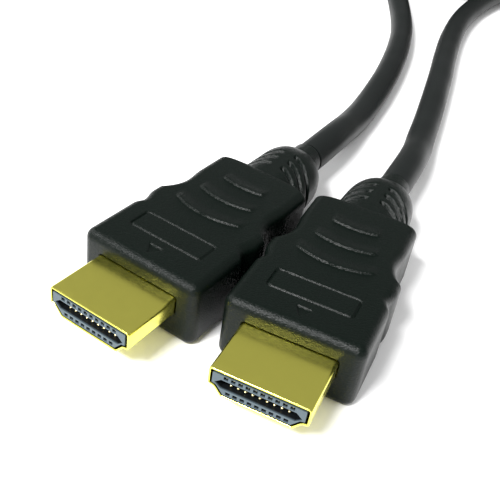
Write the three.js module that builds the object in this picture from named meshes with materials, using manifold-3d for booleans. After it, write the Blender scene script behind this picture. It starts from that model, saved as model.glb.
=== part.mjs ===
// A digital audio and video cable with the same 19 contact plug moulded on both ends.
// Millimetres, +Z up. The origin is the middle of plug 1's flat underside, which lies on
// the floor, and plug 1 points along -Y. Plug 2 lies beside it, turned a little, and the
// cable runs back from both plugs to a tied hank.
import * as THREE from 'three';
import { mergeVertices } from 'three/addons/utils/BufferGeometryUtils.js';
import Module from 'manifold-3d';

const wasm = await Module();
wasm.setup();

// Metal shell of the plug, a standard 19 contact section with its wide side up
const shell_width = 13.9;
const shell_height = 4.45;
const shell_side_height = 2.84;       // straight part of each side, down from the top
const shell_step_width = 0.87;        // shelf at the foot of each side
const shell_step_drop = 0.22;
const shell_bottom_width = 9.88;
const shell_corner_radius = 0.45;
const shell_wall = 0.3;
const shell_reach = 9.5;              // how far it stands out of the moulding
const shell_seat = 3.0;               // how deep it sits in the moulding
const shell_lift = 0.18;              // its middle above the moulding's middle

// Insulating carrier inside the shell, with the slot for the socket's tongue
const slot_width = 12.0;
const slot_height = 1.5;
const slot_depth = 7.0;
const slot_point = 0.9;               // length of each pointed end
const slot_drop = 2.15;               // its middle below the shell's top
const channel_width = 0.62;
const channel_height = 0.56;
const channel_depth = 9.0;
const channel_slit_start = 1.3;       // from here the channel is open to the slot
const channel_slit_length = 5.0;
const upper_channel_drop = 0.95;      // middle of the upper channels below the shell's top
const lower_channel_drop = 3.45;

// Contacts in two staggered rows
const contact_pitch = 1.0;
const upper_contacts = 10;
const lower_contacts = 9;
const contact_width = 0.34;
const contact_thickness = 0.18;
const contact_setback = 0.4;          // its tip behind the plug's face
const contact_length = 8.0;
const contact_reach = 0.3;            // how far its bend stands into the slot

// Moulded body over the shell's root; places are measured back from its front face
const body_length = 31.8;
const body_width = 20.3;
const body_height = 10.7;
const body_edge_radius = 1.4;
const body_corner_radius = 1.6;
const waist_start = 10.4;
const waist_bottom = 12.2;
const waist_end = 15.2;
const waist_depth = 0.62;
const shoulder_start = 16.7;
const shoulder_end = 21.4;
const shoulder_width = 16.6;          // the narrowest place, right behind the shoulder
const rear_start = 25.5;
const rear_width = 17.3;

// Strain relief, one moulding with the body
const relief_length = 17.4;
const relief_width = 12.5;
const relief_height = 10.4;
const relief_straight = 9.4;          // it rounds down to the cable behind this
const relief_tip_wall = 0.45;         // left round the cable at the tip
const relief_sides = 24;
const relief_root = 2.0;              // how deep its solid reaches into the body
const groove_count = 3;
const groove_start = 5.0;             // front edge of the first groove, at the spine
const groove_pitch = 3.0;
const groove_width = 1.25;
const groove_depth = 0.9;
const groove_sweep = 3.6;             // how far its outer end lies in front of its inner end
const spine_half_width = 0.9;         // smooth strip on top between the grooves
const relief_leans = [0.5, -1.3];     // how far each tip is pulled sideways by its cable

// Cable, hank and tie
const cable_diameter = 5.8;
const cable_sides = 10;
const lead_steps = 18;
const hank_centre_x = -24;
const hank_near_y = 187.6;            // middle of its near bend
const hank_run = 48.5;                // straight part of its turns
const hank_inner_radius = 17.4;       // centre line of the innermost bends
const hank_turn_spacing = 5.85;
const hank_columns = 2;               // turns side by side
const hank_layers = 3;
const tie_width = 10;
const tie_thickness = 0.9;

// Hand-laid centre lines of the two leads, from each strain relief to the hank
const lead_1_route = [
  [0.5, 33.6, 5.35],
  [0.6, 38, 5.35],
  [0.65, 43, 5.15],
  [0.5, 48, 4.6],
  [0.1, 54, 3.7],
  [-0.6, 60, 3.15],
  [-1.6, 70, 2.95],
  [-3.0, 82, 2.95],
  [-4.8, 96, 2.95],
  [-6.8, 110, 2.95],
  [-8.4, 124, 2.95],
  [-9.0, 138, 2.95],
  [-8.2, 151, 3.1],
  [-5.5, 164.8, 3.6],
];
const lead_2_route = [
  [-16.25, 33.6, 5.35],
  [-15.75, 38, 5.3],
  [-15.3, 43, 5.1],
  [-15.05, 49, 4.4],
  [-14.9, 56, 3.4],
  [-14.8, 64, 2.95],
  [-15.2, 76, 2.95],
  [-16.3, 90, 2.95],
  [-18.3, 105, 2.95],
  [-21.3, 119, 2.95],
  [-25.6, 132, 3.4],
  [-31.0, 144, 5.2],
  [-37.0, 154.5, 8.6],
  [-42.4, 164.6, 12.6],
];

// Where the two plugs lie, with their turn in degrees
const plug_places = [
  { x: 0, y: 0, turn: 0 },
  { x: -20.74, y: 0.25, turn: -9.6 },
];

// Clearances
const fit_gap = 0.3;                  // between neighbouring pieces
const overlap = 0.05;                 // added to a cut so that it breaks the surface
const least_radius = 0.1;             // left on a corner that an inset would make sharp

const cable_radius = cable_diameter / 2;
const front_y = -body_length / 2;
const rear_y = body_length / 2;
const face_y = front_y - shell_reach;
const body_middle = body_height / 2;
const shell_top = body_middle + shell_lift + shell_height / 2;
const slot_middle = shell_top - slot_drop;

// Solids and meshes

function toSolid(geometry) {
  const bare = geometry.clone();
  bare.deleteAttribute('normal');
  bare.deleteAttribute('uv');
  const merged = mergeVertices(bare, 1e-4);
  const mesh = new wasm.Mesh({
    numProp: 3,
    vertProperties: new Float32Array(merged.attributes.position.array),
    triVerts: new Uint32Array(merged.index.array),
  });
  return new wasm.Manifold(mesh);
}

function toGeometry(solid) {
  const mesh = solid.getMesh();
  const geometry = new THREE.BufferGeometry();
  const positions = new Float32Array(mesh.vertProperties);
  geometry.setAttribute('position', new THREE.BufferAttribute(positions, 3));
  geometry.setIndex(new THREE.BufferAttribute(new Uint32Array(mesh.triVerts), 1));
  geometry.computeVertexNormals();
  return geometry;
}

function makeBox(low, high) {
  const size = high.clone().sub(low);
  const middle = high.clone().add(low).multiplyScalar(0.5);
  const geometry = new THREE.BoxGeometry(size.x, size.y, size.z);
  return geometry.translate(middle.x, middle.y, middle.z);
}

// Section in x and z, seen from the plug's face, drawn backwards from start_y
function extrudeBack(outline, start_y, length, holes = []) {
  const shape = new THREE.Shape(outline);
  shape.holes = holes.map((hole) => new THREE.Path(hole));
  const geometry = new THREE.ExtrudeGeometry(shape, { depth: length, bevelEnabled: false });
  return geometry.rotateX(Math.PI / 2).translate(0, start_y + length, 0);
}

// Moves every edge of an anticlockwise outline outwards by a distance
function grow(outline, distance) {
  return outline.map((point, i) => {
    const before = outline[(i + outline.length - 1) % outline.length];
    const after = outline[(i + 1) % outline.length];
    const into = point.clone().sub(before).normalize();
    const out = after.clone().sub(point).normalize();
    const normal_in = new THREE.Vector2(into.y, -into.x);
    const normal_out = new THREE.Vector2(out.y, -out.x);
    const sum = normal_in.clone().add(normal_out);
    return point.clone().addScaledVector(sum, distance / (1 + normal_in.dot(normal_out)));
  });
}

// The left half of an outline from its right half, in the order that goes on round
function mirrored(right) {
  return right.map((point) => new THREE.Vector2(-point.x, point.y)).reverse();
}

// Rises smoothly from 0 to 1 between start and end
function smooth(value, start, end) {
  const t = THREE.MathUtils.clamp((value - start) / (end - start), 0, 1);
  return t * t * (3 - 2 * t);
}

// Shell

// Section of the shell, anticlockwise, x across and y upwards, moved outwards by offset
function shellOutline(offset) {
  const half = shell_width / 2;
  const side_foot = shell_top - shell_side_height;
  const sharp_right = [
    new THREE.Vector2(shell_bottom_width / 2, shell_top - shell_height),
    new THREE.Vector2(half - shell_step_width, side_foot - shell_step_drop),
    new THREE.Vector2(half, side_foot),
    new THREE.Vector2(half, shell_top),
  ];
  const sharp = grow([...sharp_right, ...mirrored(sharp_right)], offset);
  const [foot, shelf, side, corner] = sharp;
  const radius = Math.max(shell_corner_radius + offset, least_radius);
  const right = [foot, shelf, side];
  const arc_steps = 3;
  for (let step = 0; step <= arc_steps; step++) {
    const angle = step / arc_steps * Math.PI / 2;
    const x = corner.x - radius + radius * Math.cos(angle);
    const z = corner.y - radius + radius * Math.sin(angle);
    right.push(new THREE.Vector2(x, z));
  }
  return [...right, ...mirrored(right)];
}

function makeShell() {
  const bore = shellOutline(-shell_wall).reverse();
  return extrudeBack(shellOutline(0), face_y, shell_reach + shell_seat, [bore]);
}

// Carrier and contacts

// Each row has its channels' height, the slot wall on its side, and the way to the slot
const contact_rows = [
  {
    count: upper_contacts,
    z: shell_top - upper_channel_drop,
    wall: slot_middle + slot_height / 2,
    way: -1,
  },
  {
    count: lower_contacts,
    z: shell_top - lower_channel_drop,
    wall: slot_middle - slot_height / 2,
    way: 1,
  },
];

function rowPlaces(count) {
  return Array.from({ length: count }, (_, i) => (i - (count - 1) / 2) * contact_pitch);
}

function slotOutline() {
  const half = slot_width / 2;
  const flat = half - slot_point;
  const rise = slot_height / 2;
  return [
    new THREE.Vector2(-half, slot_middle),
    new THREE.Vector2(-flat, slot_middle - rise),
    new THREE.Vector2(flat, slot_middle - rise),
    new THREE.Vector2(half, slot_middle),
    new THREE.Vector2(flat, slot_middle + rise),
    new THREE.Vector2(-flat, slot_middle + rise),
  ];
}

function makeCarrier() {
  const outline = shellOutline(-shell_wall - fit_gap);
  let carrier = toSolid(extrudeBack(outline, face_y, shell_reach + shell_seat));
  const slot = extrudeBack(slotOutline(), face_y - overlap, slot_depth + overlap);
  carrier = carrier.subtract(toSolid(slot));
  const side = channel_width / 2;
  const rise = channel_height / 2;
  const slit_y = face_y + channel_slit_start;
  for (const row of contact_rows) {
    for (const x of rowPlaces(row.count)) {
      const channel = makeBox(
        new THREE.Vector3(x - side, face_y - overlap, row.z - rise),
        new THREE.Vector3(x + side, face_y + channel_depth, row.z + rise),
      );
      const slit_end = row.wall + row.way * overlap;
      const slit = makeBox(
        new THREE.Vector3(x - side, slit_y, Math.min(row.z, slit_end)),
        new THREE.Vector3(x + side, slit_y + channel_slit_length, Math.max(row.z, slit_end)),
      );
      carrier = carrier.subtract(toSolid(channel)).subtract(toSolid(slit));
    }
  }
  return toGeometry(carrier);
}

// A spring strip: its tip and tail lie in the channel, its bend stands into the slot
function makeContact(x, row) {
  const bend_z = row.wall + row.way * (contact_reach - contact_thickness / 2);
  const start = face_y + contact_setback;
  const slit = face_y + channel_slit_start;
  const path = [
    [start, row.z],
    [slit + channel_slit_length * 0.12, row.z],
    [slit + channel_slit_length * 0.45, bend_z],
    [slit + channel_slit_length * 0.85, row.z],
    [start + contact_length, row.z],
  ];
  const half = contact_thickness / 2;
  const lower = path.map(([y, z]) => new THREE.Vector2(y, z - half));
  const upper = path.map(([y, z]) => new THREE.Vector2(y, z + half)).reverse();
  const shape = new THREE.Shape([...lower, ...upper]);
  const settings = { depth: contact_width, bevelEnabled: false };
  // the strip is drawn in y and z, so its axes are turned to y, z and x
  const turn = new THREE.Matrix4().makeBasis(
    new THREE.Vector3(0, 1, 0),
    new THREE.Vector3(0, 0, 1),
    new THREE.Vector3(1, 0, 0),
  );
  const strip = new THREE.ExtrudeGeometry(shape, settings).applyMatrix4(turn);
  return strip.translate(x - contact_width / 2, 0, 0);
}

// Overmould: body and strain relief

// Half width of the body at a distance behind its front face
function bodyHalfWidth(along) {
  if (along < shoulder_start) {
    const rise = smooth(along, waist_start, waist_bottom);
    const fall = smooth(along, waist_bottom, waist_end);
    return body_width / 2 - waist_depth * (rise - fall);
  }
  const t = Math.min((along - shoulder_start) / (shoulder_end - shoulder_start), 1);
  const hollow = 1 - (1 - t) ** 2;
  const narrow = THREE.MathUtils.lerp(body_width / 2, shoulder_width / 2, hollow);
  return narrow + (rear_width - shoulder_width) / 2 * smooth(along, shoulder_end, rear_start);
}

// Outline of the body seen from above, anticlockwise
function bodyOutline() {
  const corner = body_corner_radius;
  const arc_steps = 4;
  const right = [];
  for (let step = 0; step <= arc_steps; step++) {
    const angle = step / arc_steps * Math.PI / 2;
    const x = bodyHalfWidth(corner) - corner + corner * Math.sin(angle);
    right.push(new THREE.Vector2(x, front_y + corner - corner * Math.cos(angle)));
  }
  const stretches = [
    [waist_start, waist_end, 6],
    [shoulder_start, shoulder_end, 6],
    [(shoulder_end + rear_start) / 2, rear_start, 1],
  ];
  for (const [start, end, steps] of stretches) {
    for (let step = 0; step <= steps; step++) {
      const along = THREE.MathUtils.lerp(start, end, step / steps);
      right.push(new THREE.Vector2(bodyHalfWidth(along), front_y + along));
    }
  }
  for (let step = 0; step <= arc_steps; step++) {
    const angle = step / arc_steps * Math.PI / 2;
    const x = rear_width / 2 - corner + corner * Math.cos(angle);
    right.push(new THREE.Vector2(x, rear_y - corner + corner * Math.sin(angle)));
  }
  return [...right, ...mirrored(right)];
}

function makeBody() {
  const geometry = new THREE.ExtrudeGeometry(new THREE.Shape(bodyOutline()), {
    depth: body_height - 2 * body_edge_radius,
    bevelThickness: body_edge_radius,
    bevelSize: body_edge_radius,
    bevelOffset: -body_edge_radius,
    bevelSegments: 3,
  });
  return toSolid(geometry.translate(0, 0, body_edge_radius));
}

// Turned relief, pressed to its width at the body and round at the tip; inset makes it thinner
function makeReliefCore(inset, lean) {
  const tip = cable_diameter / 2 + relief_tip_wall;
  const root = relief_height / 2;
  const profile = [new THREE.Vector2(0, -relief_root), new THREE.Vector2(root - inset, -relief_root)];
  const dome_steps = 6;
  for (let step = 0; step <= dome_steps; step++) {
    const angle = step / dome_steps * Math.PI / 2;
    const along = THREE.MathUtils.lerp(relief_straight, relief_length, Math.sin(angle));
    const radius = THREE.MathUtils.lerp(tip, root, Math.cos(angle));
    profile.push(new THREE.Vector2(Math.max(radius - inset, tip - relief_tip_wall), along));
  }
  profile.push(new THREE.Vector2(0, relief_length));
  const geometry = new THREE.LatheGeometry(profile, relief_sides);
  const position = geometry.attributes.position;
  for (let i = 0; i < position.count; i++) {
    const along = position.getY(i);
    const t = THREE.MathUtils.clamp(along / relief_length, 0, 1);
    const press = THREE.MathUtils.lerp(relief_width / relief_height, 1, t * t);
    position.setX(i, position.getX(i) * press + lean * t * t);
    position.setY(i, along + rear_y);
    position.setZ(i, position.getZ(i) + body_middle);
  }
  return toSolid(geometry);
}

// A groove's cutter on one side: a swept strip through the full height, outside the core
function grooveStrip(index, side) {
  const start = rear_y + groove_start + index * groove_pitch;
  const reach = relief_width / 2 + 1;
  const inner = [spine_half_width, start];
  const middle = [reach * 0.55, start - groove_sweep * 0.3];
  const outer = [reach, start - groove_sweep];
  const front = [inner, middle, outer].map(([x, y]) => new THREE.Vector2(side * x, y));
  const back = front.map((point) => new THREE.Vector2(point.x, point.y + groove_width));
  const shape = new THREE.Shape([...front, ...back.reverse()]);
  const settings = { depth: body_height + 2, bevelEnabled: false };
  return toSolid(new THREE.ExtrudeGeometry(shape, settings).translate(0, 0, -1));
}

function makeOvermould(lean) {
  let relief = makeReliefCore(0, lean);
  const core = makeReliefCore(groove_depth, lean);
  for (let index = 0; index < groove_count; index++) {
    for (const side of [-1, 1]) relief = relief.subtract(grooveStrip(index, side).subtract(core));
  }
  const pocket_length = shell_seat + fit_gap + overlap;
  const pocket = extrudeBack(shellOutline(fit_gap), front_y - overlap, pocket_length);
  return toGeometry(makeBody().add(relief).subtract(toSolid(pocket)));
}

// Cable

function makeLead(route) {
  const curve = new THREE.CatmullRomCurve3(route.map((point) => new THREE.Vector3(...point)));
  const section = [];
  for (let side = 0; side < cable_sides; side++) {
    const angle = (side / cable_sides) * 2 * Math.PI;
    section.push(new THREE.Vector2(Math.cos(angle), Math.sin(angle)).multiplyScalar(cable_radius));
  }
  const settings = { steps: lead_steps, bevelEnabled: false, extrudePath: curve };
  return new THREE.ExtrudeGeometry(new THREE.Shape(section), settings);
}

// Space that the hank's turns fill
const hank_hole_radius = hank_inner_radius - cable_radius;
const hank_outer_radius = hank_inner_radius + (hank_columns - 1) * hank_turn_spacing + cable_radius;
const hank_height = hank_layers * cable_diameter;
const hank_bottom = tie_thickness + fit_gap;

// Two half circles about the ends of the straight run, joined by straight sides
function raceTrack(path, radius) {
  path.absarc(hank_centre_x, hank_near_y + hank_run, radius, 0, Math.PI, false);
  path.absarc(hank_centre_x, hank_near_y, radius, Math.PI, 2 * Math.PI, false);
  path.closePath();
  return path;
}

function makeHank() {
  const shape = raceTrack(new THREE.Shape(), hank_outer_radius);
  shape.holes.push(raceTrack(new THREE.Path(), hank_hole_radius));
  const geometry = new THREE.ExtrudeGeometry(shape, {
    depth: hank_height - 2 * cable_radius,
    bevelThickness: cable_radius,
    bevelSize: cable_radius,
    bevelOffset: -cable_radius,
    bevelSegments: 3,
    curveSegments: 14,
  });
  return geometry.translate(0, 0, hank_bottom + cable_radius);
}

// Rectangle with round corners in x and z, anticlockwise
function roundedSection(middle_x, middle_z, half_width, half_height, radius) {
  const arc_steps = 3;
  const points = [];
  for (const [side, up, quarter] of [[1, 1, 0], [-1, 1, 1], [-1, -1, 2], [1, -1, 3]]) {
    for (let step = 0; step <= arc_steps; step++) {
      const angle = (quarter + step / arc_steps) * Math.PI / 2;
      const x = middle_x + side * (half_width - radius) + radius * Math.cos(angle);
      const z = middle_z + up * (half_height - radius) + radius * Math.sin(angle);
      points.push(new THREE.Vector2(x, z));
    }
  }
  return points;
}

// A strap round the middle of the hank
function makeTie() {
  const middle_z = hank_bottom + hank_height / 2;
  const half_width = hank_outer_radius + fit_gap;
  const half_height = hank_height / 2 + fit_gap;
  const inner = roundedSection(hank_centre_x, middle_z, half_width, half_height, cable_radius);
  const outer = grow(inner, tie_thickness);
  const start_y = hank_near_y + (hank_run - tie_width) / 2;
  return extrudeBack(outer, start_y, tie_width, [inner.reverse()]);
}

// Materials and assembly

const moulded_black = { color: '#151917', roughness: 0.55, metalness: 0 };
const jacket_black = { color: '#1d2120', roughness: 0.6, metalness: 0 };
const gold_plate = { color: '#c9b64a', roughness: 0.25, metalness: 1 };
const carrier_grey = { color: '#55646f', roughness: 0.5, metalness: 0 };
const strap_black = { color: '#101112', roughness: 0.9, metalness: 0 };

function named(name, geometry, finish) {
  const mesh = new THREE.Mesh(geometry, new THREE.MeshStandardMaterial(finish));
  mesh.name = name;
  return mesh;
}

function makePlug(number, place, lean) {
  const plug = new THREE.Group();
  plug.add(named(`plug_${number}_overmould`, makeOvermould(lean), moulded_black));
  plug.add(named(`plug_${number}_shell`, makeShell(), gold_plate));
  plug.add(named(`plug_${number}_contact_carrier`, makeCarrier(), carrier_grey));
  let contact = 0;
  for (const row of contact_rows) {
    for (const x of rowPlaces(row.count)) {
      contact += 1;
      const name = `plug_${number}_contact_${String(contact).padStart(2, '0')}`;
      plug.add(named(name, makeContact(x, row), gold_plate));
    }
  }
  plug.position.set(place.x, place.y, 0);
  plug.rotation.z = THREE.MathUtils.degToRad(place.turn);
  return plug;
}

const cable = new THREE.Group();
plug_places.forEach((place, i) => cable.add(makePlug(i + 1, place, relief_leans[i])));
cable.add(named('cable_lead_1', makeLead(lead_1_route), jacket_black));
cable.add(named('cable_lead_2', makeLead(lead_2_route), jacket_black));

cable.add(named('cable_hank', makeHank(), jacket_black));
cable.add(named('hank_tie', makeTie(), strap_black));

export default cable;
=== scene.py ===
# %% [markdown]
# A moulded audio and video cable, dressed over its engineering model. The plugs lie side
# by side on a pale floor, and the cable runs back to a tied hank. This lesson builds each
# surface as a function of two parameters with numpy, and gives each a procedural finish.

# %% Load the frame
import math

import bpy
import numpy as np
from mathutils import Matrix, Vector


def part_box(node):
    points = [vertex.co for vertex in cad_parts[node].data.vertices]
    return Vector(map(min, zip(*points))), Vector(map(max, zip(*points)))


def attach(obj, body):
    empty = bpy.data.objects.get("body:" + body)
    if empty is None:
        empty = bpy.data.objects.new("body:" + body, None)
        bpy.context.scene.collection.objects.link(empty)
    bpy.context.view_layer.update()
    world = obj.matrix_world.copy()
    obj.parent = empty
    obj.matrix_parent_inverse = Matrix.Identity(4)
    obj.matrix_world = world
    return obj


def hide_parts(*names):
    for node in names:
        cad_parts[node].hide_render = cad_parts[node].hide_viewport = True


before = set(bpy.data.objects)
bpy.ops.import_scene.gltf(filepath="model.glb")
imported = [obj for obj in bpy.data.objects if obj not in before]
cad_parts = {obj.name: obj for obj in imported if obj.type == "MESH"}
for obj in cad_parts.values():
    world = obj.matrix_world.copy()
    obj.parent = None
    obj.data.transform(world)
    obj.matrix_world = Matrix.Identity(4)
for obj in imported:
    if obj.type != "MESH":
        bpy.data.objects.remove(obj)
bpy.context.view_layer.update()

mm = 0.001

# %% [markdown]
# The camera comes first, because it settles which stretch of cable is seen. Its place and
# turn were fitted to the plugs' outlines with the metal shell as the scale: it looks down
# at 37 degrees, from the right of the plugs, and is rolled by 7.5 degrees.

# %% Camera
camera_place = Vector((17.53, -88.41, 77.33)) * mm
camera_forward = Vector((-0.2602, 0.7554, -0.6014)).normalized()
camera_right = Vector((0.9005, 0.4146, 0.1311)).normalized()
camera_up = camera_right.cross(camera_forward)
camera_data = bpy.data.cameras.new("camera")
camera_data.sensor_width = 36
camera_data.lens = 55.96
camera_data.clip_start = 0.005
camera = bpy.data.objects.new("camera", camera_data)
bpy.context.collection.objects.link(camera)
camera_turn = Matrix((camera_right, camera_up, -camera_forward)).transposed()
camera.matrix_world = Matrix.Translation(camera_place) @ camera_turn.to_4x4()
bpy.context.scene.camera = camera

# %% [markdown]
# Every new piece is a mesh made from whole arrays. One helper takes a grid of points, rows
# of closed rings, and joins neighbours with quads. The last row may join the first one, as
# on a sheet metal tube, or both ends may be closed with a cap.

# %% Mesh helper
def add_piece(name, points, faces, material, crease):
    """Mesh from points in millimetres; edges sharper than crease degrees stay sharp."""
    mesh = bpy.data.meshes.new(name)
    mesh.from_pydata((points * mm).tolist(), [], faces)
    mesh.update()
    mesh.polygons.foreach_set("use_smooth", np.ones(len(mesh.polygons), bool))
    mesh.set_sharp_from_angle(angle=math.radians(crease))
    mesh.materials.append(material)
    piece = bpy.data.objects.new(name, mesh)
    bpy.context.collection.objects.link(piece)
    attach(piece, "root")
    print(f"{name}: {len(mesh.polygons)} faces")
    return piece


def ring_faces(rows, count, closed=False):
    """Quads between rings of count points; closed joins the last ring to the first one."""
    row = np.arange(rows if closed else rows - 1)[:, None]
    here = np.arange(count)[None, :]
    beside = (here + 1) % count
    after = (row + 1) % rows
    quads = np.stack([
        row * count + here,
        after * count + here,
        after * count + beside,
        row * count + beside,
    ], axis=-1)
    faces = quads.reshape(-1, 4).tolist()
    if not closed:
        faces.append(list(range(count)))
        faces.append(list(range(rows * count - 1, (rows - 1) * count - 1, -1)))
    return faces


def smooth(value, start, end):
    """Rises from 0 to 1 between start and end, flat at both ends."""
    t = np.clip((value - start) / (end - start), 0, 1)
    return t * t * (3 - 2 * t)


def blend(a, b, t):
    """The value that lies the share t of the way from a to b."""
    return a + (b - a) * t


# %% [markdown]
# Materials are node trees. Their colours are written as screen hex values, which one
# function turns to linear light. One small function adds a node, sets its values and makes
# its links. Four more use it for what comes back in several materials: a noise, a noise
# spread over a range, bumps, and a colour between two others.

# %% Material helpers
def linear(hex_colour):
    """Linear RGBA from an sRGB hex colour, by the sRGB curve."""
    values = [int(hex_colour[i:i + 2], 16) / 255 for i in (1, 3, 5)]
    curve = [v / 12.92 if v <= 0.04045 else ((v + 0.055) / 1.055) ** 2.4 for v in values]
    return (*curve, 1)


def add_node(tree, kind, inputs=None, **settings):
    """A node with its settings; an input, by name or number, gets a value or a link."""
    node = tree.nodes.new(kind)
    for name, value in settings.items():
        setattr(node, name, value)
    for name, value in (inputs or {}).items():
        if isinstance(value, bpy.types.NodeSocket):
            tree.links.new(value, node.inputs[name])
        else:
            node.inputs[name].default_value = value
    return node


def new_material(name):
    """An empty node tree with its output, and the object coordinates that patterns read."""
    material = bpy.data.materials.new(name)
    material.use_nodes = True
    tree = material.node_tree
    tree.nodes.clear()
    place = add_node(tree, "ShaderNodeTexCoord").outputs["Object"]
    return material, tree, place


def finish_material(tree, inputs):
    """The surface shader and the output."""
    shader = add_node(tree, "ShaderNodeBsdfPrincipled", inputs)
    add_node(tree, "ShaderNodeOutputMaterial", {"Surface": shader.outputs["BSDF"]})


def noise(tree, place, size, detail, roughness=0.5):
    """Noise about the middle of 0 to 1, its grains of a size in millimetres."""
    return add_node(tree, "ShaderNodeTexNoise", {
        "Vector": place, "Scale": 1 / (size * mm), "Detail": detail, "Roughness": roughness,
    }).outputs["Fac"]


def spread(tree, value, low, high):
    """The part of a noise from 0.3 to 0.7, spread over the range from low to high."""
    return add_node(tree, "ShaderNodeMapRange", {
        "Value": value, "From Min": 0.3, "From Max": 0.7, "To Min": low, "To Max": high,
    }).outputs["Result"]


def bumps(tree, height, strength, depth):
    """Normals of a surface that a height from 0 to 1 roughens, its depth in millimetres."""
    return add_node(tree, "ShaderNodeBump", {
        "Height": height, "Strength": strength, "Distance": depth * mm,
    }).outputs["Normal"]


def colour_between(tree, share, first, second):
    """The colour that lies a share of the way from one hex colour to another."""
    mix = add_node(tree, "ShaderNodeMix", {"Factor": share}, data_type="RGBA")
    ends = [socket for socket in mix.inputs if socket.type == "RGBA"]
    ends[0].default_value = linear(first)
    ends[1].default_value = linear(second)
    return [socket for socket in mix.outputs if socket.type == "RGBA"][0]


# %% [markdown]
# The overmould is black PVC, moulded in a spark-eroded tool. Such a tool leaves a fine
# satin grain, which breaks every highlight into small glints. The real grain is about
# 0.05 mm; here it is 0.22 mm, coarse enough to show in the render. PVC has an IOR of 1.53,
# and the grain takes most of the mirror part away, so its specular level is low.

# %% Overmould material
def make_moulded_pvc():
    """Black with a green cast: a fine noise for grain and colour, a slow one for roughness."""
    material, tree, place = new_material("spark_textured_black_pvc")
    fine = noise(tree, place, 0.22, 2.0, 0.6)
    slow = noise(tree, place, 9, 2.0)
    finish_material(tree, {
        "Base Color": colour_between(tree, fine, "#020604", "#08130e"),
        "Roughness": spread(tree, slow, 0.3, 0.38),
        "IOR": 1.53,
        "Specular IOR Level": 0.17,
        "Normal": bumps(tree, fine, 1.0, 0.085),
    })
    return material


# %% [markdown]
# The shell is drawn steel with a thin gold plating. Plating copies the sheet's satin
# surface, so it is a rough mirror with a soft cloudy variation.

# %% Gold material
def make_gold(name, hex_colour, roughness):
    """Gold from its reflected colour, with a faint cloud in roughness and a fine grain."""
    material, tree, place = new_material(name)
    cloud = noise(tree, place, 1.6, 4.0)
    fine = noise(tree, place, 0.12, 2.0)
    finish_material(tree, {
        "Base Color": linear(hex_colour),
        "Metallic": 1.0,
        "Roughness": spread(tree, cloud, roughness * 0.85, roughness * 1.2),
        "Normal": bumps(tree, fine, 0.12, 0.02),
    })
    return material


# %% [markdown]
# The jacket is soft extruded PVC: smoother than the moulding, with a faint waviness from
# the extruder. The strap is black nylon, and its short fibres make it matt.

# %% Plastic materials
def make_plastic(name, hex_colour, roughness, grain_size, wave_size, mirror):
    """Plain plastic: fine grain in the bump, slow waves in the roughness."""
    material, tree, place = new_material(name)
    fine = noise(tree, place, grain_size, 2.0)
    wave = noise(tree, place, wave_size, 1.0)
    finish_material(tree, {
        "Base Color": linear(hex_colour),
        "Roughness": spread(tree, wave, roughness - 0.05, roughness + 0.06),
        "IOR": 1.5,
        "Specular IOR Level": mirror,
        "Normal": bumps(tree, fine, 0.2, 0.03),
    })
    return material


moulded_pvc = make_moulded_pvc()
gold_plate = make_gold("satin_gold_plate", "#fff976", 0.22)
contact_gold = make_gold("gold_flashed_bronze", "#fff0b4", 0.3)
jacket_pvc = make_plastic(
    "extruded_black_pvc_jacket", "#141817", 0.45, grain_size=0.15, wave_size=12, mirror=0.2,
)
strap_fabric = make_plastic(
    "black_hook_and_loop_nylon", "#0d0e0f", 0.85, grain_size=0.3, wave_size=2, mirror=0.4,
)

# %% [markdown]
# The cord is one length from plug to plug. Each lead follows given points: straight out of its
# strain relief, down to the floor and away. The spare length is folded into a hank of five passes
# in two columns and three layers. A pass is a run away from the plugs, a half circle and a run
# back. Round the near half circle the strands change places one after the other, each into the
# place that the next one has just left. A smooth curve through all the points becomes the cable's
# centre line.

# %% Cable
cable_diameter = 5.8
lead_1_route = [
    (0.5, 33.6, 5.35), (0.6, 38, 5.35), (0.65, 43, 5.15), (0.5, 48, 4.6), (0.1, 54, 3.7),
    (-0.6, 60, 3.15), (-1.6, 70, 2.95), (-3.0, 82, 2.95), (-4.8, 96, 2.95), (-6.8, 110, 2.95),
    (-8.4, 124, 2.95), (-9.0, 138, 2.95), (-8.2, 151, 3.1), (-5.5, 164.8, 3.6),
]
lead_2_route = [
    (-16.25, 33.6, 5.35), (-15.75, 38, 5.3), (-15.3, 43, 5.1), (-15.05, 49, 4.4),
    (-14.9, 56, 3.4), (-14.8, 64, 2.95), (-15.2, 76, 2.95), (-16.3, 90, 2.95),
    (-18.3, 105, 2.95), (-21.3, 119, 2.95), (-25.6, 132, 3.4), (-31.0, 144, 5.2),
    (-37.0, 154.5, 8.6), (-42.4, 164.6, 12.6),
]
hank_centre_x = -24
hank_near_y = 187.6
hank_run = 48.5
outer_radius, inner_radius = 23.25, 17.4
low_layer, middle_layer, top_layer = 4.1, 9.9, 15.7
hank_passes = [  # half circle's radius and height of each pass
    (outer_radius, low_layer), (inner_radius, low_layer), (inner_radius, middle_layer),
    (outer_radius, middle_layer), (outer_radius, top_layer),
]
hank_entry = (-1.8, 176.5, 3.9)
hank_exit = (-45.7, 175.4, 15.5)
change_starts = [0.5, 0.4, 0.3, 0.2]  # shares of the near half circle
change_share = 0.46
run_points = 7
bend_points = 9


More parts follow.
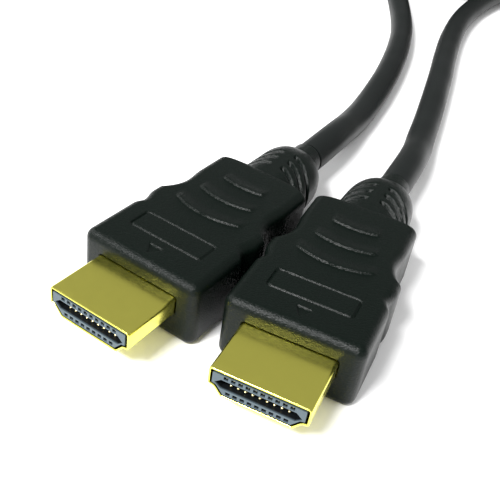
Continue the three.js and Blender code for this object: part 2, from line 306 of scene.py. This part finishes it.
def hank_turns():
    """Each pass round the far half circle, then the near one with its change of place."""
    run = np.linspace(0, hank_run, run_points)
    half_turn = np.linspace(0, 1, bend_points + 2)[1:-1]
    angle = np.concatenate([
        np.zeros(run_points), np.pi * half_turn, np.full(run_points, np.pi),
    ])
    along = np.concatenate([run, np.full(bend_points, hank_run), run[::-1]])
    turns = []
    for number, (radius, height) in enumerate(hank_passes):
        turns.append(np.stack([
            radius * np.cos(angle), along + radius * np.sin(angle), np.full(len(angle), height),
        ], axis=1))
        if number < len(change_starts):
            start = change_starts[number]
            change = smooth(half_turn, start, start + change_share)
            next_radius, next_height = hank_passes[number + 1]
            bend = blend(radius, next_radius, change)
            near = np.pi * (1 + half_turn)
            turns.append(np.stack([
                bend * np.cos(near), bend * np.sin(near), blend(height, next_height, change),
            ], axis=1))
    return np.concatenate(turns) + (hank_centre_x, hank_near_y, 0)


def smooth_path(route, steps=6):
    """Catmull-Rom curve: each stretch is a cubic whose ends point along their neighbours."""
    ends = np.vstack([2 * route[0] - route[1], route, 2 * route[-1] - route[-2]])
    before, start, end, after = ends[:-3], ends[1:-2], ends[2:-1], ends[3:]
    t = np.linspace(0, 1, steps, endpoint=False)[None, :, None]
    cubic = 0.5 * (
        2 * start[:, None]
        + (end - before)[:, None] * t
        + (2 * before - 5 * start + 4 * end - after)[:, None] * t ** 2
        + (3 * start - before - 3 * end + after)[:, None] * t ** 3
    )
    return np.vstack([cubic.reshape(-1, 3), route[-1]])


def make_cable():
    """A poly spline along the smooth path, with a round bevel of the cable's radius."""
    route = np.vstack([lead_1_route, hank_entry, hank_turns(), hank_exit, lead_2_route[::-1]])
    path = smooth_path(route)
    print("cable centre line, mm:", round(np.linalg.norm(np.diff(path, axis=0), axis=1).sum()))
    curve = bpy.data.curves.new("cable", "CURVE")
    curve.dimensions = "3D"
    curve.bevel_depth = cable_diameter / 2 * mm
    curve.bevel_resolution = 6
    curve.use_fill_caps = True
    spline = curve.splines.new("POLY")
    spline.points.add(len(path) - 1)
    spline.points.foreach_set("co", np.c_[path * mm, np.ones(len(path))].ravel())
    spline.use_smooth = True
    curve.materials.append(jacket_pvc)
    cable = bpy.data.objects.new("cable", curve)
    bpy.context.collection.objects.link(cable)
    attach(cable, "root")
    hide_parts("cable_lead_1", "cable_lead_2", "cable_hank")
    return cable


cable = make_cable()

# %% [markdown]
# A hook and loop strap holds the hank. It is a flat band round both runs. The band's own
# thin section, a flat strip with rounded edges, is carried round a rounded rectangle.

# %% Hank tie
strap_width = 10
strap_thickness = 0.9
strap_corner = 3.8
strap_corner_points = 10
strap_section_angles = np.arange(15, 360, 30)


def make_strap():
    """Rounded rectangles in x and z, one for each point of the strip's thin section."""
    low_corner, high_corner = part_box("hank_tie")
    half = (high_corner - low_corner) / 2 / mm
    centre = (high_corner + low_corner) / 2 / mm
    starts = (0, 90, 180, 270)
    quarters = [np.linspace(start, start + 90, strap_corner_points) for start in starts]
    angle = np.radians(np.concatenate(quarters))
    side_x = np.repeat([1, -1, -1, 1], strap_corner_points)
    side_z = np.repeat([1, 1, -1, -1], strap_corner_points)
    rim = strap_thickness / 2
    rows = []
    for around in np.radians(strap_section_angles):
        inset = rim * (1 - math.cos(around))
        across = math.copysign(strap_width / 2 - rim, math.sin(around)) + rim * math.sin(around)
        corner = strap_corner - inset
        x = side_x * (half.x - strap_corner) + corner * np.cos(angle)
        z = side_z * (half.z - strap_corner) + corner * np.sin(angle)
        y = np.full_like(x, across + centre.y)
        rows.append(np.stack([x + centre.x, y, z + centre.z], axis=1))
    points = np.concatenate(rows)
    faces = ring_faces(len(rows), len(angle), closed=True)
    piece = add_piece("hank_strap", points, faces, strap_fabric, crease=60)
    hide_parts("hank_tie")
    return piece


strap = make_strap()

# %% [markdown]
# The two plugs are alike, so each surface is made once, in plug 1's place, and carried to
# plug 2. Plug 2's turn and place are read from the frame: the row of contacts 1 to 10
# gives both.

# %% Places of the plugs
def middle_of(node):
    """Middle of an engineering node's box, in millimetres."""
    low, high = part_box(node)
    return np.array((low + high) / 2) / mm


def row_of(plug):
    """Middle of the upper row of contacts, and its angle seen from above."""
    first = middle_of(f"plug_{plug}_contact_01")
    last = middle_of(f"plug_{plug}_contact_10")
    run = last - first
    return (first + last) / 2, math.atan2(run[1], run[0])


def turned(points, angle):
    """Points turned about the vertical axis."""
    c, s = math.cos(angle), math.sin(angle)
    return points @ np.array([[c, s, 0], [-s, c, 0], [0, 0, 1]])


row_1, angle_1 = row_of(1)
row_2, angle_2 = row_of(2)
plug_turns = {1: 0.0, 2: angle_2 - angle_1}
plug_shifts = {1: np.zeros(3), 2: row_2 - turned(row_1, angle_2 - angle_1)}
print("plug 2 turn, degrees:", round(math.degrees(plug_turns[2]), 2))
print("plug 2 place, mm:", plug_shifts[2].round(2))


def in_place(points, plug):
    """Points made in plug 1's place, carried to a plug."""
    return turned(points, plug_turns[plug]) + plug_shifts[plug]


# %% [markdown]
# The shell's section is a flat-topped funnel: straight sides, a shelf at the foot of each,
# and a narrower floor. It is drawn as a polygon whose corners become arcs, and the same
# polygon pushed inwards gives the inner wall.

# %% Shell section
shell_low, shell_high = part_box("plug_1_shell")
body_low, body_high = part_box("plug_1_overmould")
face_y = shell_low.y / mm
shell_root_y = shell_high.y / mm
shell_top = shell_high.z / mm
shell_half = shell_high.x / mm
shell_wall = 0.3
shell_height = 4.45
shell_side = 2.84
shelf_width = 0.87
shelf_drop = 0.22
floor_half = 4.94
corner_arc_points = 7
corner_radii = (0.35, -0.3, 0.3, 0.5)  # negative in the hollow corner under the shelf
least_radius = 0.06


def shell_section(offset):
    """Polygon pushed outwards by offset along its edge normals, each corner an arc."""
    right = np.array([
        (floor_half, shell_top - shell_height),
        (shell_half - shelf_width, shell_top - shell_side - shelf_drop),
        (shell_half, shell_top - shell_side),
        (shell_half, shell_top),
    ])
    radii = np.array(corner_radii)
    corners = np.vstack([right, right[::-1] * (-1, 1)])
    radii = np.concatenate([radii, radii[::-1]])
    before = corners - np.roll(corners, 1, axis=0)
    after = np.roll(corners, -1, axis=0) - corners
    before /= np.linalg.norm(before, axis=1)[:, None]
    after /= np.linalg.norm(after, axis=1)[:, None]
    normal_before = np.stack([before[:, 1], -before[:, 0]], axis=1)
    normal_after = np.stack([after[:, 1], -after[:, 0]], axis=1)
    openness = 1 + (normal_before * normal_after).sum(axis=1)
    outward = (normal_before + normal_after) / openness[:, None]
    corners = corners + outward * offset
    signs = np.sign(radii)
    radii = signs * np.maximum(np.abs(radii) + signs * offset, least_radius)
    centres = corners - outward * radii[:, None]
    start = np.arctan2(normal_before[:, 1], normal_before[:, 0])
    sweep = np.arctan2(normal_after[:, 1], normal_after[:, 0]) - start
    sweep = (sweep + np.pi) % (2 * np.pi) - np.pi
    t = np.linspace(0, 1, corner_arc_points)
    angle = start[:, None] + sweep[:, None] * t
    arc = np.stack([np.cos(angle), np.sin(angle)], axis=-1) * radii[:, None, None]
    return (centres[:, None] + arc).reshape(-1, 2)


# %% [markdown]
# The sheet metal is one closed skin: down the outer wall, round the thin front rim, and
# back along the inner wall. Round the rim the offset follows a half circle of the sheet's
# thickness, so the rim catches a bright line of light.

# %% Shell
rim_steps = 8
outer_rings, inner_rings = 8, 6


def make_shell(plug):
    """Rings of the section, offset and set back by the sheet's path round the rim."""
    half = shell_wall / 2
    rim = np.linspace(0, np.pi, rim_steps)
    outer_y = np.linspace(shell_root_y, face_y + half, outer_rings)
    inner_y = np.linspace(face_y + half, shell_root_y, inner_rings)
    stations = [(0, y) for y in outer_y[:-1]]
    stations += [
        (-half * (1 - math.cos(angle)), face_y + half * (1 - math.sin(angle))) for angle in rim
    ]
    stations += [(-shell_wall, y) for y in inner_y[1:]]
    rows = []
    for offset, y in stations[::-1]:
        section = shell_section(offset)
        rows.append(np.stack([section[:, 0], np.full(len(section), y), section[:, 1]], axis=1))
    points = in_place(np.concatenate(rows), plug)
    faces = [face[::-1] for face in ring_faces(len(rows), len(rows[0]), closed=True)]
    piece = add_piece(f"plug_{plug}_gold_shell", points, faces, gold_plate, crease=50)
    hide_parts(f"plug_{plug}_shell")


for plug in (1, 2):
    make_shell(plug)

# %% [markdown]
# The overmould is one surface of closed rings, from the pocket round the shell, over the
# front face, its rounded edges and the finger waist, to the ribbed strain relief. Each
# ring is a rounded rectangle, worked out from four tables: which corner a point belongs
# to, and where it lies on that corner's arc. More points lie along the top, where the
# fine relief is.

# %% Overmould rings
front_y = body_low.y / mm
body_top = body_high.z / mm
body_half = body_high.x / mm
tip_y = body_high.y / mm
body_middle = body_top / 2
body_length = 31.8
rear_y = front_y + body_length
edge_radius = 1.5
rear_edge_radius = 0.9
# kind and number of points; for an arc also its corner's signs and its start in degrees
ring_plan = [
    ("right", 7), ("arc", 26, 1, 1, 0), ("top", 104), ("arc", 26, -1, 1, 90),
    ("left", 7), ("arc", 14, -1, -1, 180), ("bottom", 24), ("arc", 14, 1, -1, 270),
]


def ring_tables():
    """Corner signs and arc directions of every point of a ring, anticlockwise."""
    tables = []
    flats = {
        "right": (1, 1, -1, 1, 1, 0), "top": (1, -1, 1, 1, 0, 1),
        "left": (-1, -1, 1, -1, -1, 0), "bottom": (-1, 1, -1, -1, 0, -1),
    }
    for kind, count, *corner in ring_plan:
        if kind == "arc":
            side, up, start = corner
            angle = np.radians(start + np.linspace(0, 90, count))
            tables.append(np.stack([
                np.full(count, side), np.full(count, up), np.cos(angle), np.sin(angle),
            ], axis=1))
        else:
            x0, x1, z0, z1, ax, az = flats[kind]
            t = np.linspace(0, 1, count + 2)[1:-1]
            tables.append(np.stack([
                blend(x0, x1, t), blend(z0, z1, t), np.full(count, ax), np.full(count, az),
            ], axis=1))
    return np.concatenate(tables).T


corner_x, corner_z, arc_x, arc_z = ring_tables()
ring_count = len(corner_x)
on_top = (arc_z > 0.999).astype(float)


def rounded_ring(half_width, half_height, radius):
    """x and z of rounded rectangles, one row for each width, height and radius."""
    sizes = [np.atleast_1d(size)[:, None] for size in (half_width, half_height, radius)]
    w, h, r = np.broadcast_arrays(*sizes)
    return corner_x * (w - r) + arc_x * r, corner_z * (h - r) + arc_z * r


# %% [markdown]
# Seen from above the body has a shallow finger waist, then a hollow shoulder down to its
# narrower rear. The widths are functions of the distance behind the front face.

# %% Body outline
waist = (10.4, 12.2, 15.2)  # start, deepest place and end
waist_depth = 0.62
shoulder = (16.7, 21.4)  # start and end
shoulder_half = 8.3
rear_start = 25.5
rear_half = 8.65


def body_half_width(along):
    """Constant, less a dip at the waist; behind the shoulder a parabola, then a slow rise."""
    dip = smooth(along, waist[0], waist[1]) - smooth(along, waist[1], waist[2])
    t = np.clip((along - shoulder[0]) / (shoulder[1] - shoulder[0]), 0, 1)
    front = body_half - waist_depth * dip
    narrow = blend(body_half, shoulder_half, 1 - (1 - t) ** 2)
    rear = narrow + (rear_half - shoulder_half) * smooth(along, shoulder[1], rear_start)
    return np.where(along < shoulder[0], front, rear)


# %% [markdown]
# The top face carries fine moulded relief: three curved grip steps that rise at their
# front edge and fade behind it, a plain engraved border with rounded corners, and a small
# triangle that points to the shell. All of it is a height added to the top's points.

# %% Relief on the top face
step_rise = 0.3
step_edge = 0.16
step_flat = 0.3
step_fall = 2.6
step_full_share = 0.82
grip_steps = [(14.5, 1.7, 6.5), (19.6, 1.15, 5.3), (24.8, 0.65, 4.1)]  # place, bow, half width
mark_depth = 0.22
mark_edge = 0.09
border_middle = 7.65
border_half = (6.3, 2.0)
border_corner = 0.6
border_groove = 0.3
arrow_base, arrow_tip, arrow_half = 4.0, 2.05, 1.15


def top_relief(x, along):
    """Height of the steps, less the depth of the border's groove and the triangle."""
    height = np.zeros_like(x)
    for middle, bow, half in grip_steps:
        behind = along - middle - bow * (x / half) ** 2
        fade = 1 - smooth(np.abs(x), half * step_full_share, half)
        rise = np.clip(behind / step_edge, 0, 1)
        height += step_rise * fade * rise * (1 - smooth(behind, step_flat, step_fall))
    qx = np.abs(x) - border_half[0] + border_corner
    qy = np.abs(along - border_middle) - border_half[1] + border_corner
    # how far a point lies outside the rectangle that the rounded corners' centres span
    far = np.hypot(np.maximum(qx, 0), np.maximum(qy, 0)) + np.minimum(np.maximum(qx, qy), 0)
    line = np.abs(far - border_corner) - border_groove / 2
    height -= mark_depth * (1 - smooth(line, -mark_edge, mark_edge))
    slope = math.hypot(arrow_half, arrow_base - arrow_tip)
    side = ((along - arrow_tip) * arrow_half - np.abs(x) * (arrow_base - arrow_tip)) / slope
    inside = np.minimum(side, arrow_base - along)
    height -= mark_depth * smooth(inside, -mark_edge, mark_edge)
    return height


# %% [markdown]
# Behind the body the moulding goes on as the strain relief. It is almost as high as the
# body, rounds down in a dome to a thin sleeve round the cable, and has three grooves each
# side of a smooth spine, swept forward down its flanks, so that it bends with the cable.

# %% Strain relief
relief_half_width = 6.25
relief_half_height = 5.2
relief_corner = 5.0
relief_straight = 8.4
dome_end = 13.3
relief_length = tip_y - rear_y
cable_radius = cable_diameter / 2
sleeve_radius = cable_radius + 0.35
tip_radius = cable_radius + 0.07
relief_first_ring = 0.15
relief_step = 0.14
dome_rings = 50
sleeve_rings = 7
groove_places = [3.8, 6.2, 8.6]
groove_half_width = 0.66
groove_floor_half = 0.15
groove_depth = 0.85
groove_sweep = 3.4
groove_sweep_power = 1.6
groove_fade = (2.0, 0.6)  # start and end, before the dome's end
spine_half = 0.75
spine_fade = 0.9
relief_leans = {1: 0.5, 2: -1.3}  # the cable pulls each tip a little sideways


def relief_stations():
    """Distance behind the body and half height: straight, a quarter ellipse, then a sleeve."""
    straight = np.arange(relief_first_ring, relief_straight, relief_step)
    angle = np.linspace(0, np.pi / 2, dome_rings)
    sleeve = np.linspace(0, 1, sleeve_rings + 1)[1:]
    along = np.concatenate([
        straight, relief_straight + (dome_end - relief_straight) * np.sin(angle),
        blend(dome_end, relief_length, sleeve),
    ])
    height = np.concatenate([
        np.full(len(straight), relief_half_height),
        blend(sleeve_radius, relief_half_height, np.cos(angle)),
        blend(sleeve_radius, tip_radius, sleeve),
    ])
    return along, height


def relief_rows(lean):
    """Rounded rings that turn from oval to round, pressed in at the grooves."""
    along, half_height = relief_stations()
    share = along / relief_length
    half_width = half_height * blend(relief_half_width / relief_half_height, 1, share ** 2)
    x, z = rounded_ring(half_width, half_height, half_height * relief_corner / relief_half_height)
    reach = np.abs(x) / half_width[:, None]
    flank = smooth(np.abs(x), spine_half, spine_half + spine_fade)
    depth = np.zeros_like(x)
    for place in groove_places:
        off = along[:, None] - place + groove_sweep * reach ** groove_sweep_power
        shape = 1 - smooth(np.abs(off), groove_floor_half, groove_half_width)
        depth += groove_depth * flank * shape
    depth *= (1 - smooth(along, dome_end - groove_fade[0], dome_end - groove_fade[1]))[:, None]
    x = x - arc_x * depth + lean * share[:, None] ** 2
    z = z - arc_z * depth
    y = np.broadcast_to((rear_y + along)[:, None], x.shape)
    return np.stack([x, y, z + body_middle], axis=-1)


# %% [markdown]
# The rings are stacked: the pocket's floor and mouth, which follow the shell's outline at
# the same angles, then the rounded front edge, the body, its rounded rear edge, which
# turns into the relief's first ring, and at last the mouth round the cable.

# %% Overmould
pocket_rings = [(0.1, 1.2), (0.1, 0.1), (0.2, 0)]  # gap round the shell, place behind the face
ray_margin = 0.3
ray_corner = 0.5
least_edge = 0.35
edge_rings = 9
fine_start, fine_end, fine_step = 0.15, 27.2, 0.13
plain_start, plain_rings = 27.3, 7
rear_rings = 12
mouth_radius = cable_radius + 0.02
mouth_depth = 1.5


def shell_ring(offset, y):
    """Points of the shell's outline, met by rays from its middle at the ring's angles."""
    outline = shell_section(offset)
    middle = np.array([0, shell_top - shell_height / 2])
    off = outline - middle
    angle = np.arctan2(off[:, 1], off[:, 0]) % (2 * np.pi)
    order = np.argsort(angle)
    angle, off = angle[order], off[order]
    x, z = rounded_ring(shell_half + ray_margin, shell_height / 2 + ray_margin, ray_corner)
    ray = np.arctan2(z[0], x[0]) % (2 * np.pi)
    # each ray's point lies between the outline's own points on either side of it
    x, z = [np.interp(ray, angle, off[:, side], period=2 * np.pi) for side in (0, 1)]
    return np.stack([x + middle[0], np.full(ring_count, y), z + middle[1]], axis=1)[None]


def body_rows(along, inset):
    """Rings of the body, pushed inwards by inset, with the top's relief added."""
    x, z = rounded_ring(
        body_half_width(np.maximum(along, edge_radius)) - inset,
        body_top / 2 - inset,
        np.maximum(edge_radius - inset, least_edge),
    )
    z = z + on_top * top_relief(x, along[:, None] + np.zeros_like(x))
    y = np.broadcast_to((front_y + along)[:, None], x.shape)
    return np.stack([x, y, z + body_middle], axis=-1)


def make_overmould(plug):
    """All rings in order, joined to one closed skin."""
    pocket = [shell_ring(gap, front_y + depth) for gap, depth in pocket_rings]
    quarter = np.linspace(0, np.pi / 2, edge_rings)
    front = body_rows(edge_radius * (1 - np.cos(quarter)), edge_radius * (1 - np.sin(quarter)))
    along = np.concatenate([
        np.arange(edge_radius + fine_start, fine_end, fine_step),
        np.linspace(plain_start, body_length - rear_edge_radius, plain_rings),
    ])
    middle = body_rows(along, np.zeros_like(along))
    relief = relief_rows(relief_leans[plug])
    turn = np.linspace(0, np.pi / 2, rear_rings)[1:, None, None]
    last, first = middle[-1][None], relief[0][None]
    rear = blend(last, first, 1 - np.cos(turn))
    rear[..., 1] = blend(last[..., 1], first[..., 1], np.sin(turn[..., 0]))
    tip_centre = np.array([relief_leans[plug], tip_y, body_middle])
    mouth = (relief[-1] - tip_centre) * mouth_radius / tip_radius + tip_centre
    inside = mouth - (0, mouth_depth, 0)
    rows = np.concatenate([*pocket, front, middle, rear, relief, mouth[None], inside[None]])
    points = in_place(rows.reshape(-1, 3), plug)
    faces = ring_faces(len(rows), ring_count)
    piece = add_piece(f"plug_{plug}_moulding", points, faces, moulded_pvc, crease=38)
    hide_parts(f"plug_{plug}_overmould")


for plug in (1, 2):
    make_overmould(plug)

# %% [markdown]
# The carriers keep their engineering shape, because it is already the real one. They are
# blue-grey glass-filled plastic, satin from the tool. Their windows and slot get painted shade:
# the plastic's colour darkens with the distance behind its face.

# %% Carriers
carrier_face_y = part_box("plug_1_contact_carrier")[0].y / mm
shade_start, shade_end = 0.03, 0.32


def make_carrier_plastic_with_painted_shade(plug):
    """The face's colour with painted shade, darker with the distance behind the carrier's face.
    """
    material, tree, place = new_material(f"plug_{plug}_glass_filled_plastic_painted_shade")
    face, behind = in_place(np.array([[0, carrier_face_y, 0], [0, carrier_face_y + 1, 0]]), plug)
    inward = behind - face
    depth = add_node(tree, "ShaderNodeVectorMath", {
        0: place, 1: tuple(inward),
    }, operation="DOT_PRODUCT")
    shade = add_node(tree, "ShaderNodeMapRange", {
        "Value": depth.outputs["Value"], "From Min": (face @ inward + shade_start) * mm,
        "From Max": (face @ inward + shade_end) * mm,
    })
    # painted shade: the face's blue-grey turns to near black inside the windows and the slot
    colour = colour_between(tree, shade.outputs["Result"], "#4d5a61", "#0d1012")
    finish_material(tree, {"Base Color": colour, "Roughness": 0.42, "Specular IOR Level": 0.3})
    return material


for plug in (1, 2):
    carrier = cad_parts[f"plug_{plug}_contact_carrier"]
    carrier.data.materials.clear()
    carrier.data.materials.append(make_carrier_plastic_with_painted_shade(plug))

# %% [markdown]
# Each row of contacts is made again as spring strips with rounded noses, because a nose
# catches the light in its window or on the floor of the slot. The lower row's noses are
# lifted a little.

# %% Contacts
strip_length = 7.0
nose_length = 0.5
nose_first_ring = 0.03
nose_rings = 8
lift_end = 2.0
straight_places = [1.2, lift_end, strip_length]
section_points = 12
section_power = 0.6
contact_rows = {
    "upper": {
        "numbers": range(1, 11), "middle": shell_top - 1.0, "start": 0.22, "lift": 0.0,
        "half_width": 0.14, "thickness": 0.24,
    },
    "lower": {
        "numbers": range(11, 20), "middle": shell_top - 2.78, "start": 0.7, "lift": 0.15,
        "half_width": 0.26, "thickness": 0.44,
    },
}


def squared(wave):
    """Sine or cosine pulled towards 1 and -1, which makes an ellipse squarer."""
    return np.sign(wave) * np.abs(wave) ** section_power


def make_contacts(plug, row):
    """Rows of small ellipses that grow along a quarter circle at the nose, then run straight."""
    places = [middle_of(f"plug_1_contact_{number:02d}")[0] for number in row["numbers"]]
    places = np.array(places)
    nose = np.linspace(nose_first_ring, 1, nose_rings)
    along = np.concatenate([nose * nose_length, straight_places])
    grow = np.concatenate([np.sqrt(1 - (1 - nose) ** 2), np.ones(len(straight_places))])
    lift = row["lift"] * (1 - smooth(along, nose_length, lift_end))
    around = np.linspace(0, 2 * np.pi, section_points, endpoint=False)
    side = squared(np.cos(around))
    up = squared(np.sin(around))
    x = places[:, None, None] + row["half_width"] * grow[:, None] * side
    z = row["middle"] + lift[:, None] + row["thickness"] / 2 * grow[:, None] * up
    x, z = np.broadcast_arrays(x, z)
    y = np.broadcast_to((face_y + row["start"] + along)[:, None], x.shape)
    strip = ring_faces(len(along), len(around))
    per_strip = len(along) * len(around)
    faces = [[corner + per_strip * index for corner in face[::-1]]
             for index in range(len(places)) for face in strip]
    return in_place(np.stack([x, y, z], axis=-1).reshape(-1, 3), plug), faces


for plug in (1, 2):
    for side, row in contact_rows.items():
        points, faces = make_contacts(plug, row)
        piece = add_piece(f"plug_{plug}_{side}_contacts", points, faces, contact_gold, crease=60)
        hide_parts(*[f"plug_{plug}_contact_{number:02d}" for number in row["numbers"]])

# %% [markdown]
# The set is a pale floor under soft light. A soft box stands in front and above, where the
# front edges of the mouldings mirror it to the camera, and a weaker one at the left. The sky
# is an even white that fills the shadows. In mirror reflections it is dimmer, as a studio's
# walls are, so that the black plastic stays black.

# %% Set and light
floor_reach = 3.0
sky_strength = 0.9
sky_in_reflections = 0.34


def make_floor():
    """A square of six metres, far larger than the view."""
    floor_material, tree, _ = new_material("pale_floor")
    finish_material(tree, {"Base Color": linear("#f7f7f7"), "Roughness": 0.9})
    signs = [(-1, -1), (1, -1), (1, 1), (-1, 1)]
    corners = [(x * floor_reach, y * floor_reach, 0) for x, y in signs]
    mesh = bpy.data.meshes.new("floor")
    mesh.from_pydata(corners, [], [(0, 1, 2, 3)])
    mesh.materials.append(floor_material)
    floor = bpy.data.objects.new("floor", mesh)
    bpy.context.collection.objects.link(floor)


def add_soft_box(name, place, size, power):
    """A rectangular light at a place, turned to the origin."""
    light = bpy.data.lights.new(name, "AREA")
    light.shape = "RECTANGLE"
    light.size, light.size_y = size
    light.energy = power
    lamp = bpy.data.objects.new(name, light)
    lamp.location = place
    lamp.rotation_euler = (-Vector(place)).to_track_quat("-Z", "Y").to_euler()
    bpy.context.collection.objects.link(lamp)


make_floor()
world = bpy.data.worlds.new("studio")
world.use_nodes = True
sky = world.node_tree
seen = add_node(sky, "ShaderNodeLightPath")
strength = add_node(sky, "ShaderNodeMapRange", {
    "Value": seen.outputs["Is Glossy Ray"], "To Min": sky_strength, "To Max": sky_in_reflections,
})
background = sky.nodes["Background"]
background.inputs["Color"].default_value = (1, 1, 1, 1)
sky.links.new(strength.outputs["Result"], background.inputs["Strength"])
bpy.context.scene.world = world
add_soft_box("front_box", (-0.25, -0.62, 0.8), size=(0.32, 0.16), power=17)
add_soft_box("left_box", (-0.9, 0.1, 0.5), size=(0.4, 0.5), power=3)
bpy.context.scene.view_settings.view_transform = "Standard"
